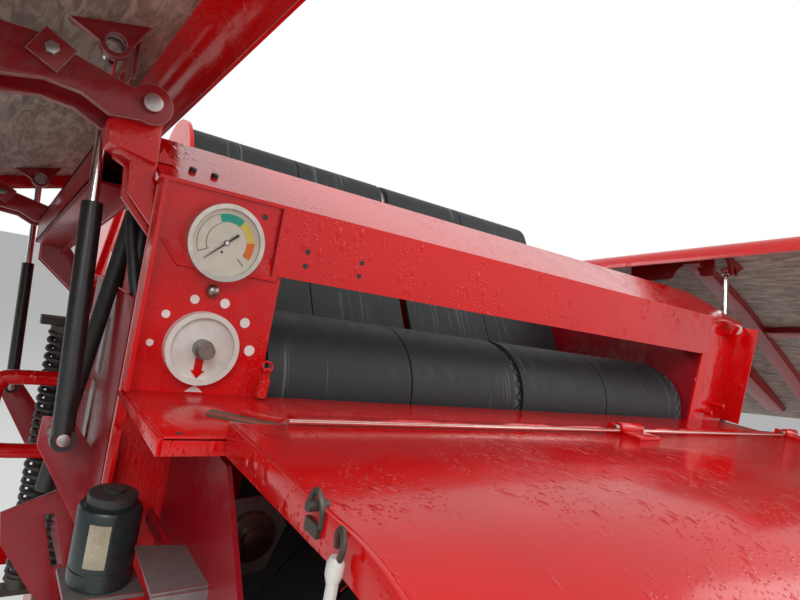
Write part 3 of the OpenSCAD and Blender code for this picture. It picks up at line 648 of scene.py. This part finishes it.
# side and the front hinge's place along the hinge line
for side, f in ((-1, 0), (1, 330)):
    hangers.move = mirror(side) @ HINGE
    for v in (f - 22, f + 14):
        if f == 0:
            lug = [(-198, -190), (-198, -90), (-19.4, -88), (-19.4, -6), *BOW, (22, -30), (38, -30), (26, -63),
                   (12, -70), (10, -110), (-60, -190)]
        else:
            lug = [(-198, -190), (-198, -110), (-60, -60), (-22, -30), *BOW, (22, -12), (18, -60), (-40, -120)]
        # the left door's front lugs are in the plain red, the right door's in the red with painted shade
        hangers.prism("xz", lug, v, v + 8, 0 if f == 0 else 2)
    for v in (838, 874):
        hangers.prism("xz", [(-198, -303), (-198, -245), (-102, -158), (-25, -55), (-22, -12), *BOW, (22, -12),
                             (20, -109), (-108, -222)], v, v + 8, 2)
    for v in (f, 860):
        hangers.rod((0, v - 46, 0), (0, v + 46, 0), 12, 1)
    start = max(f + 44, 112)
    hangers.box((-26, -20), (f + 14, 846), (-92, -60), 2)
    hangers.box((-26, -20), (f + 44, 816), (-61, -22), 2)
    for z in (-22, -72):
        hangers.box((-26, 36), (start, 816), (z - 6, z), 2)
    hangers.box((30, 36), (start, 816), (-78, -22), 2)
    if f == 0:
        # end cap of the carrier, folded over the lugs
        hangers.prism("xz", [(-17, -70), (40, -58), (44, -30), (26, -20), (-16, -24)], -30, 14)
    # feet of the gas struts
    for v in (0, 860):
        hangers.prism("xz", [(-198, -640), (-198, -590), (-110, -566), (10, -402), (44, -402), (46, -440),
                             (-60, -628)], v + 130, v + 138, 2)
        hangers.rod((30, v + 32, -420), (30, v + 138, -420), 8, 1)
    hangers.move = mirror(side) @ TOP
    hangers.box((780, 785), (6, 300), (-500, -60), 2)
    hangers.box((700, 785), (6, 12), (-500, -60), 2)
hangers.done("red_paint", "door_brackets", soft=0.7)

# ---------- doors ----------
HEIGHT, BULGE, UPPER_EDGE = 1330, 42, 75
FRONT_END, REAR_END = -450, 970
R = HEIGHT ** 2 / 8 / BULGE + BULGE / 2
CENTRE = (162 - R, UPPER_EDGE - HEIGHT / 2)
EYE = (96, -8)  # the strut's pin
TAB, TILT = (63, -97), -0.733  # square tab on the arms, turned by TILT


def skin(w, depth=3.5):
    """Point on the door's skin at height w, depth below its outer side."""
    return (CENTRE[0] + math.sqrt((R - depth) ** 2 - (w - CENTRE[1]) ** 2), w)


def door(side_name, side, f):
    """A side door: skin, rolled rim, double arms, ribs and rail; f is its front hinge's place along the hinge."""
    # the arms, tabs, bosses, lugs, ribs and rail inside the door are in the red with painted shade
    d = Piece("door_" + side_name + "_shell", "door_" + side_name, "door_skin", "red_paint", "dark_red_paint",
              "steel")
    d.move = mirror(side) @ DOOR
    steps = [UPPER_EDGE - HEIGHT * i / 32 for i in range(33)]
    outline = [skin(w, 0) for w in steps] + [skin(w, 7) for w in steps[::-1]]
    d.prism("xz", outline, FRONT_END, REAR_END, 1, sides=[1] * 33 + [0] * 32 + [1])
    rim = arc((65, UPPER_EDGE), 55, 0, 104, 12)
    d.prism("xz", rim + arc((65, UPPER_EDGE), 48, 104, 0, 12), FRONT_END, REAR_END, 1)
    for v in (FRONT_END, REAR_END - 6):
        d.prism("xz", [skin(w, 1) for w in steps] + [skin(w, 40) for w in steps[::-1]], v, v + 6, 1)
    arm = (arc((0, 0), 26, -38, 222, 20)
           + [(-11, -51), (16, -76), (33, -111), (39, -152), (52, -220), (76, -310), (104, -420)]
           + [skin(w) for w in (-440, -360, -290)] + [(118, -215), (96, -139), (82, -98), (64, -79)])
    for v in (f, 860):
        # plate, tab and the head on the tab: where each begins
        for plate, tab, head in ((v - 38, v - 43, v - 49), (v + 22, v + 29, v + 34)):
            d.prism("xz", arm, plate, plate + 8, 2)
            corners = [(TAB[0] + a * math.cos(TILT) - b * math.sin(TILT),
                        TAB[1] + a * math.sin(TILT) + b * math.cos(TILT))
                       for a, b in ((-19, -18), (19, -18), (19, 18), (-19, 18))]
            d.prism("xz", corners, tab, tab + 6, 2)
            d.rod((TAB[0], head, TAB[1]), (TAB[0], head + 7, TAB[1]), 8, 3, 6)
        d.prism("xz", [(104, -400), *[skin(w) for w in range(-380, -1181, -100)], (96, -1150)], v - 38, v + 30, 2)
        # boss that the arm pair turns on
        d.rod((0, v - 30.5, 0), (0, v - 23, 0), 20, 2)
        d.rod((0, v + 14.5, 0), (0, v + 22.5, 0), 20, 2)
    for v in (0, 860):
        # lug with the bore for the strut's pin
        d.prism("xz", [skin(46), *arc(EYE, 20, 110, 280, 10), skin(-60), skin(-8)], v + 18, v + 30, 2,
                holes=[arc(EYE, 12.8, 0, 345, 23)])

    def bar(rows, depth):
        """Rib of that depth under the skin; rows are its height and two places along the hinge."""
        outer, inner = [[skin(w, r)[0] for w, _, _ in rows] for r in (3, depth)]
        d.strip([[(high, a, w), (high, b, w), (low, b, w), (low, a, w)]
                 for high, low, (w, a, b) in zip(outer, inner, rows)], 2)
    for w in (-380, -860):
        bar([(w - 20, f + 28, 824), (w + 20, f + 28, 824)], 38)
    if f:
        rows = []
        stations = [(60, 95, 143), (-300, 107, 157), (-600, 132, 182), (-1200, 155, 205)]
        for (w0, a0, b0), (w1, a1, b1) in zip(stations, stations[1:]):
            rows += [(w0 + (w1 - w0) * k / 6, a0 + (a1 - a0) * k / 6, b0 + (b1 - b0) * k / 6)
                     for k in range(6)]
        bar(rows + [stations[-1]], 36)
        bar([(-520, -446, 160), (-480, -446, 160)], 30)
    # arched rail inside the rim
    d.move = mirror(side) @ HINGE
    rail = [(62, 66), (62, 126), (336, 126), (336, 66), (204, 66), *arc((146, 62), 43, 10, 170, 16), (88, 66)]
    d.prism("yz", rail, 6, 12, 2)
    d.done("door_skin", "door_" + side_name, soft=0.6)


door("right", 1, 330)
door("left", -1, 0)

# ---------- springs, hoses, bottle and rail at the sides ----------
springs = Piece("springs", "machine", "black_rubber", "cast")
for side in (1, -1):
    springs.move = mirror(side) @ TOP
    for x in (757, 807):
        # 30 turns of pitch 15 in 14 steps each
        coil = [(x + 20 * math.cos(2 * math.pi * k / 14), 400 + 20 * math.sin(2 * math.pi * k / 14),
                 -628 + 15 * k / 14) for k in range(30 * 14 + 1)]
        springs.sweep(coil, 4.4, 0, 7)
        springs.rod((x, 400, -650), (x, 400, -160), 11, 1)
        springs.rod((x, 400, -641), (x, 400, -622), 21, 1)
        springs.rod((x, 400, -184), (x, 400, -165), 21, 1)
    for z in (-165, -655):
        springs.box((608, 845), (388, 412), (z, z + 14), 1)
springs.done("black_rubber", "belt_springs")

hoses = Piece("hose_run", "machine", "black_rubber", "brown", "steel", "galv")
# points of each hose and its radius
RUNS = [([(-778, 128, 92), (-783, 126, 40), (-803, 124, -120), (-826, 122, -300), (-832, 122, -352)], 11),
        ([(-764, 92, 84), (-760, 84, 40), (-756, 70, -20), (-752, 56, -80), (-748, 48, -190), (-746, 42, -700)], 11),
        ([(-748, 100, 88), (-744, 84, 50), (-742, 62, 0), (-739, 48, -70), (-733, 42, -200), (-730, 40, -700)], 9),
        ([(-790, 108, 60), (-786, 96, 20), (-778, 78, -30), (-768, 62, -90), (-764, 50, -200), (-762, 46, -700)], 8),
        ([(-770, 106, 60), (-772, 96, 30), (-774, 86, -10), (-772, 74, -60), (-758, 60, -150), (-755, 58, -700)], 7)]
for points, r in RUNS:
    hoses.sweep(smooth_line(points), r, 0, 14)
hoses.lathe((-776, 128, 98), (-0.05, 0, -1),
            [(9, 0), (14, 3), (14, 20), (11, 24), (15, 28), (15, 46), (10, 52), (12, 70)], 1, sides=18)
hoses.lathe((-763, 93, 92), (0.03, -0.1, -1), [(8, 0), (12, 3), (12, 22), (10, 26)], 3, sides=18)
hoses.lathe((-789, 107, 66), (0.03, -0.1, -1), [(6, 0), (9, 2), (9, 16), (7, 20)], 2, sides=18)
hoses.box((-784, -714), (12, 64), (-160, -150), 3)
hoses.box((-784, -716), (12, 58), (-430, -420), 3)
# bright guide strips on the post
hoses.box((-787.5, -785), (143, 165), (-189, -106), 2)
hoses.box((-787.5, -785), (150, 176), (-370, -203), 2)
hoses.done("black_rubber", "hoses")

# the rib and the slotted plate are in the red with painted shade
holder = Piece("holder", "machine", "dark_red_paint", "galv", "steel")
holder.box((-825, -742), (-110, -34.3), (-390, -384), 1)
holder.box((-779.7, -742), (-36, 0), (-390, -384), 1)
# rib that carries the flat bracket
holder.box((-724, -716), (-200, 0), (-350, -334), 0)
holder.prism("xz", [(-785, -345), (-802, -351), (-877, -385), (-871, -428), (-828, -498), (-785, -560)], 126, 132,
             holes=[[(-824, -391), (-811, -389), (-790, -466), (-803, -471)]])
# flat bracket beside the bottle, with a bearing plate behind the wall's front edge
holder.prism("xy", [(-760, -103), (-678, -117), (-678, -201), (-766, -206)], -334, -330, 1)
holder.prism("yz", [(-206, -334), (-206, -352), (-200, -352), (-200, -334)], -764, -680, 1)
holder.prism("xz", [(-676, -334), (-640, -290), (-590, -286), (-560, -330), (-580, -390), (-640, -400),
                    (-676, -372)], -84, -78, 1)
holder.lathe((-612, -92, -340), (0, 1, 0), [(34, 0), (34, 10), (30, 14)], 2)
holder.rod((-612, -100, -340), (-612, 0, -340), 14, 2)
holder.rod((-656, -70, -420), (-628, -84, -620), 12, 1)
holder.done("dark_red_paint", "bottle_holder", soft=0.5)

bottle = Piece("bottle", "machine", "bottle", "black_rubber", "label")
bottle.lathe((-786, -72, -384), (0, 0, 1),
             [(32, 0), (35, 3), (35, 20), (34, 21), (34, 23), (35, 24), (35, 88), (33, 92), (27, 94), (26, 95),
              (27, 96), (27, 105), (24, 107), (12, 107), (12, 111), (10, 112)], looks=[0] * 9 + [1] * 6, sides=72)
inner, outer = [arc((-786, -72), r, 226, 264, 8) for r in (34.6, 35.5)]
bottle.prism("xy", outer + inner[::-1], -354, -304, 2)
bottle.done("bottle", "oil_bottle")

rail = Piece("rail", "machine", "red_paint")
rail.sweep(smooth_line([(x, 330, z) for x, z in
                        ((-604, -246), (-700, -246), (-866, -246), (-890, -254), (-898, -278), (-898, -337),
                         (-890, -361), (-866, -369), (-700, -369), (-604, -369))], 6), 12, 0, 20)
rail.done("red_paint", "handrail")

# ---------- gauge, dial and marks ----------
marks = Piece("gauge_marks", "machine", "green", "yellow", "orange", "ink", "mark", "red_paint")


def ray(angle, outline):
    """Points given as distance along a ray from the gauge's centre and distance beside it."""
    c, s = math.cos(math.radians(angle)), math.sin(math.radians(angle))
    return [(GAUGE[0] + r * c + w * s, GAUGE[1] + r * s - w * c) for r, w in outline]


for look, a, b in ((0, 113, 60), (1, 60, 10), (2, 10, -27)):
    marks.prism("xz", arc(GAUGE, 38, a, b, 14) + arc(GAUGE, 27.5, b, a, 14), -19.6, -18.8, look)
for r, a, b in ((38.6, 114, 206), (26.6, 114, 206)):
    marks.prism("xz", arc(GAUGE, r, a, b, 24) + arc(GAUGE, r - 0.5, b, a, 24), -19.5, -18.8, 3)
for a, near, far in ((206, 24, 39), (-44, 26, 38)):
    marks.prism("xz", ray(a, [(near, -0.4), (far, -0.4), (far, 0.4), (near, 0.4)]), -19.5, -18.8, 3)
# needle and its hub
marks.prism("xz", ray(223, [(-19, -1.9), (-6, -1.1), (36, -0.3), (36, 0.3), (-6, 1.1), (-19, 1.9)]), -21.6, -20.8, 3)
marks.rod((GAUGE[0], -18.8, GAUGE[1]), (GAUGE[0], -21.9, GAUGE[1]), 3.4, 3)
marks.rod((GAUGE[0], -21.9, GAUGE[1]), (GAUGE[0], -22.5, GAUGE[1]), 2.5, 4)
marks.rod((GAUGE[0] - 4, -18.8, GAUGE[1] - 13), (GAUGE[0] - 4, -19.6, GAUGE[1] - 13), 1.6, 3, 12)
# red arrow on the dial
marks.prism("xz", [(-701, -124), (-701, -142), (-705, -142), (-695.5, -153), (-686, -142), (-690, -142),
                   (-690, -124)], -8.7, -7.8, 5)
# white dots round the dial and the pointer mark under it: x, z, radius
for x, z, r in ((-760, -112, 4.6), (-747, -73, 5.4), (-714, -49, 6), (-673, -49, 6.6), (-640, -72, 7),
                (-626, -110, 7.5)):
    marks.rod((x, 0.4, z), (x, -0.9, z), r, 4, 32)
marks.prism("xz", [(-705, -173), (-681, -173), (-693, -163)], -0.9, 0.4, 4)
marks.done("cream")

trim = Piece("front_trim", "machine", "steel", "ink", "red_paint", "dark_red_paint", "edge")
trim.lathe((-693, 0.5, -35), (0, -1, 0), [(9, 0), (9, 4), (8, 7), (5.5, 9.5), (1.5, 10.6)], 0, sides=32)
for x, z in ((-568, 43), (-568, 22), (-474, 44), (-475, 23)):
    trim.rod((x, -4.4, z), (x, -5.5, z), 4, 1, 20)
trim.rod((-640, 0.4, 78), (-640, -0.6, 78), 4, 1, 20)
# small socket with its clip at the panel's edge
trim.lathe((-603, -14, -172), (0.08, 0, 1), [(9, 0), (9, 26), (6, 28), (6, 40), (3, 42)], 2, sides=20)
trim.sweep(smooth_line([(-606, -20, -136), (-600, -26, -130), (-596, -18, -124), (-602, -10, -122),
                        (-608, -14, -128), (-604, -22, -134)], 5), 1.8, 2, 8)
# gusset where the beam's top meets the door's hinge, and the pins through the top sheet
trim.prism("xz", [(-785, 118), (-760, 118), (-778, 136)], 36, 40, 2)
for x, y, z in ((-737, 40, 113), (-707, 40, 113)):
    trim.lathe((x, y, z), (0, -0.38, 0.92), [(9, 0), (9, 2), (5, 2), (5, 9), (4, 10)], 1, sides=20)
# black disc for the drain hole at the ledge's corner: painted shade inside the hole
trim.rod((-764, -195, -170), (-764, -195, -167.9), 3.6, 1, 20)
# pale strip on the panel's edge, a painted highlight
trim.box((-785.8, -784), (-0.9, 0.9), (-880, 86), 4)
# seam line on the beam's left end
trim.box((-617.2, -616), (-6, -0.2), (-2, 95), 3)
trim.done("steel")

bolts("front_bolts", "machine", "brown",
      [(-644, -124, 2031, (0.03, -0.03, 1), 7.5), (-653, -183, 2032, (0, 0, 1), 7), (-622, -180, 2032, (0, 0, 1), 7),
       (-726, -150, 2029, (0, 0, 1), 4.5), (-610, -78, 1885, (0, -1, 0), 6), (-712, -129, 1870, (0, 0, 1), 6),
       (679, -2, 2284, (0, -1, 0), 6), (730, -2, 1900, (0, -1, 0), 6), (620, -2, 1900, (0, -1, 0), 6)]
      + [(x, -2, z, (0, -1, 0), 7) for x in (-770, -620) for z in (1900, 1700, 1500)]
      + [(s * 609, y, z, (s, 0, 0), 9) for s in (1, -1) for y, z in
         ((300, 2230), (560, 2270), (860, 2330), (200, 1700), (400, 1700), (700, 1700), (900, 1500), (500, 1300),
          (900, 1100))])
for side, s in (("right", 1), ("left", -1)):
    bolts("wheel_nuts_" + side, "wheel_" + side, "steel",
          [(s * 1048, y, z, (s, 0, 0), 13) for y, z in arc(AXLE, 115, 22.5, 337.5, 7)])


# ---------- camera, floor and light ----------
def camera():
    """Where the photograph was taken: beside the front left corner, level with the crossbeam."""
    yaw, pitch, roll = (math.radians(a) for a in (35.8, -1.55, 11.3))
    ahead = Vector((math.sin(yaw) * math.cos(pitch), math.cos(yaw) * math.cos(pitch), math.sin(pitch)))
    right = Vector((math.cos(yaw), -math.sin(yaw), 0))
    down = ahead.cross(right)
    side = right * math.cos(roll) - down * math.sin(roll)
    drop = right * math.sin(roll) + down * math.cos(roll)
    data = bpy.data.cameras.new("camera")
    # focal length and width of the photograph, both in its pixels
    focal, width = 598, 800
    data.sensor_width, data.lens, data.clip_start = 36.0, focal / width * 36.0, 0.02
    made = bpy.data.objects.new("camera", data)
    bpy.context.scene.collection.objects.link(made)
    turn = Matrix((side, -drop, -ahead)).transposed().to_4x4()
    spot = (-0.95923, -0.52729, 2.22442)
    made.matrix_world = Matrix.Translation(spot) @ turn
    bpy.context.scene.camera = made


def studio():
    """Pale floor, three soft lamps and a world that is white to the camera and in mirrors, dimmer as light."""
    reach, under = 60, -0.001
    data = bpy.data.meshes.new("floor")
    data.from_pydata([(-reach, -reach, under), (reach, -reach, under), (reach, reach, under), (-reach, reach, under)],
                     [], [(0, 1, 2, 3)])
    data.materials.append(Finish("floor").surface(Base_Color=(0.82, 0.82, 0.82), Roughness=0.9,
                                                  Specular_IOR_Level=0.1))
    ground = bpy.data.objects.new("floor", data)
    bpy.context.scene.collection.objects.link(ground)
    world = bpy.data.worlds.new("studio")
    bpy.context.scene.world = world
    world.use_nodes = True
    tree = world.node_tree
    back = tree.nodes["Background"]
    back.inputs["Color"].default_value = (1, 1, 1, 1)
    rays = tree.nodes.new("ShaderNodeLightPath")
    level = rays.outputs["Is Camera Ray"]
    for name in ("Is Glossy Ray", "Is Transmission Ray"):
        seen = tree.nodes.new("ShaderNodeMath")
        seen.operation = "MAXIMUM"
        tree.links.new(level, seen.inputs[0])
        tree.links.new(rays.outputs[name], seen.inputs[1])
        level = seen.outputs[0]
    spread = tree.nodes.new("ShaderNodeMapRange")
    spread.inputs["To Min"].default_value = 0.5
    spread.inputs["To Max"].default_value = 1.0
    tree.links.new(level, spread.inputs["Value"])
    tree.links.new(spread.outputs[0], back.inputs["Strength"])
    # place, size, power and what each lamp looks at
    for spot, size, power, aim in (((-4, -5, 6.5), 4.0, 330, (0, 0.3, 1.6)), ((5, -3, 5.5), 4.0, 130, (0, 0.3, 1.4)),
                                   ((-5, 5, 5), 4.0, 170, (0, 0, 1.2))):
        data = bpy.data.lights.new("lamp", "AREA")
        data.size, data.energy = size, power
        lamp = bpy.data.objects.new("lamp", data)
        bpy.context.scene.collection.objects.link(lamp)
        lamp.location = spot
        lamp.rotation_euler = (Vector(aim) - Vector(spot)).to_track_quat("-Z", "Y").to_euler()
    bpy.context.scene.view_settings.view_transform = "Standard"


camera()
studio()
